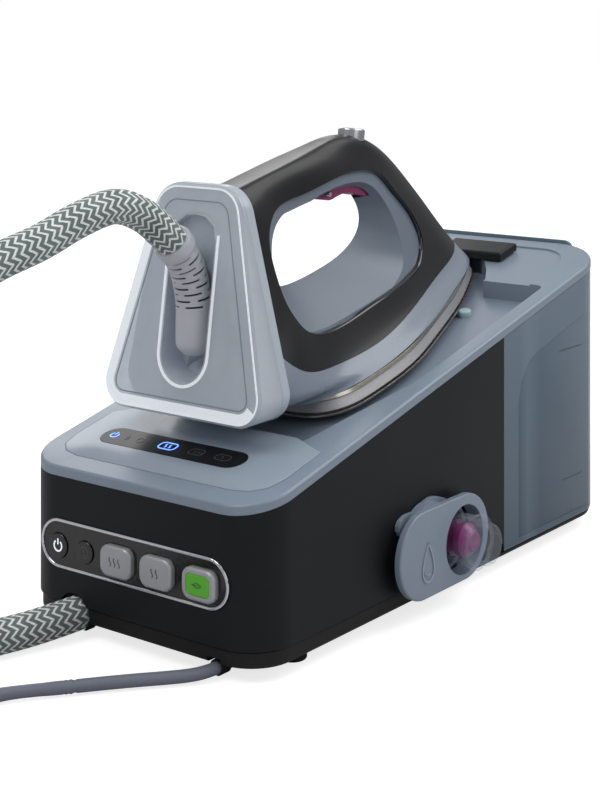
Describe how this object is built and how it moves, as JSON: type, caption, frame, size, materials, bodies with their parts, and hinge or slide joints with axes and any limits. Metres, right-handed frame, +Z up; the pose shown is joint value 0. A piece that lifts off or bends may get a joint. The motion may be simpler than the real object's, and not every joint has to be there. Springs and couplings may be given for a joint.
{
  "type": "steam generator iron",
  "caption": "Steam station with sloping cradle, lift-out water tank and rinse collector, and a corded hand iron parked on top.",
  "frame": {"origin": "on the floor under the middle of the station housing", "axes": "+Z up, -Y out of the front panel, +X to the side with the rinse collector"},
  "size_m": [0.229, 0.6944, 0.306],
  "materials": {
    "shell_black": "satin anthracite moulding",
    "deck_grey": "satin blue-grey moulding",
    "gloss_black": "polished black",
    "chrome_trim": "bright plated",
    "button_silver": "pearl silver",
    "lamp_green": "lit green lens",
    "tank_clear": "translucent slate blue",
    "rubber_black": "moulded rubber",
    "steel": "machined steel",
    "aluminium_cast": "die cast",
    "polished_plate": "polished soleplate",
    "board_green": "circuit board",
    "pipe_white": "extruded tube",
    "brass_fit": "turned brass",
    "hose_fabric": "braided sleeve",
    "cord_grey": "grey cord jacket",
    "boot_grey": "soft light grey moulding",
    "cover_clear": "clear moulded cover",
    "magenta": "magenta",
    "handle_black": "satin black handle",
    "stud_rubber": "pale silicone"
  },
  "bodies": {
    "station": {"base_pan": "shell_black", "rubber_feet": "rubber_black", "base_screws": "steel", "side_shell": "shell_black", "top_deck": "deck_grey", "cradle_studs": "stud_rubber", "console_cover": "deck_grey", "display_lens": "gloss_black", "panel_bezel": "chrome_trim", "front_panel": "gloss_black", "circuit_boards": "board_green", "boiler": "aluminium_cast", "boiler_heater": "steel", "pump_body": "pipe_white", "pump_mounts": "rubber_black", "solenoid_valve": "brass_fit", "water_pipes": "pipe_white", "steam_pipe": "pipe_white", "tank_socket": "pipe_white", "socket_seal": "rubber_black", "collector_socket": "deck_grey", "cord_bushings": "rubber_black", "hose_lower": "hose_fabric", "mains_cord": "cord_grey", "plug_body": "cord_grey", "plug_pins": "chrome_trim"},
    "iron": {"sole_plate": "polished_plate", "sole_casting": "aluminium_cast", "heat_shield": "shell_black", "trim_ring": "polished_plate", "handle_shell": "handle_black", "skirt_shell": "deck_grey", "handle_liner": "deck_grey", "trigger_pin": "steel", "trigger_spring": "steel", "micro_switch": "shell_black", "heel_frame": "deck_grey", "heel_cover": "cover_clear", "hose_boot": "boot_grey", "hose_upper": "hose_fabric", "steam_inlet": "pipe_white", "iron_thermostat": "steel", "iron_screws": "steel"},
    "trigger_lever": {"trigger": "magenta"},
    "steam_shot": {"steam_button": "chrome_trim"},
    "key_power": {"button_power": "gloss_black"},
    "key_clean": {"button_clean": "gloss_black"},
    "key_turbo": {"button_turbo": "button_silver"},
    "key_normal": {"button_normal": "button_silver"},
    "key_eco": {"button_eco": "button_silver", "eco_lamp": "lamp_green"},
    "lock": {"lock_slider": "shell_black"},
    "tank": {"water_tank": "tank_clear", "tank_lid": "tank_clear", "valve_spring": "steel"},
    "poppet": {"tank_valve": "pipe_white"},
    "rinse_cover": {"descale_cover": "deck_grey"},
    "collector": {"collector_cup": "cover_clear", "collector_core": "magenta"}
  },
  "joints": [
    {"name": "iron_lift", "type": "slide", "parent": "station", "child": "iron", "axis": [0, -0.2343, 0.9722], "range_m": [0, 0.04]},
    {"name": "trigger_pull", "type": "hinge", "parent": "iron", "child": "trigger_lever", "pos_m": [0, -0.03108, 0.26197], "axis": [1, 0, 0], "range_deg": [0, 4], "deforming": ["trigger_spring"]},
    {"name": "steam_press", "type": "slide", "parent": "iron", "child": "steam_shot", "axis": [0, -0.1383, -0.9904], "range_m": [0, 0.0025]},
    {"name": "power_press", "type": "slide", "parent": "station", "child": "key_power", "axis": [0, 1, 0], "range_m": [0, 0.0015]},
    {"name": "clean_press", "type": "slide", "parent": "station", "child": "key_clean", "axis": [0, 1, 0], "range_m": [0, 0.0015]},
    {"name": "turbo_press", "type": "slide", "parent": "station", "child": "key_turbo", "axis": [0, 1, 0], "range_m": [0, 0.0015]},
    {"name": "normal_press", "type": "slide", "parent": "station", "child": "key_normal", "axis": [0, 1, 0], "range_m": [0, 0.0015]},
    {"name": "eco_press", "type": "slide", "parent": "station", "child": "key_eco", "axis": [0, 1, 0], "range_m": [0, 0.0015]},
    {"name": "lock_slide", "type": "slide", "parent": "station", "child": "lock", "axis": [0, -0.9722, -0.2343], "range_m": [0, 0.004]},
    {"name": "tank_slide", "type": "slide", "parent": "station", "child": "tank", "axis": [0, 1, 0], "range_m": [0, 0.18]},
    {"name": "valve_open", "type": "slide", "parent": "tank", "child": "poppet", "axis": [0, 1, 0], "range_m": [-0.0008, 0.003], "deforming": ["valve_spring"]},
    {"name": "cover_pull", "type": "slide", "parent": "station", "child": "rinse_cover", "axis": [1, 0, 0], "range_m": [0, 0.03]},
    {"name": "collector_pull", "type": "slide", "parent": "station", "child": "collector", "axis": [1, 0, 0], "range_m": [0, 0.06]}
  ]
}
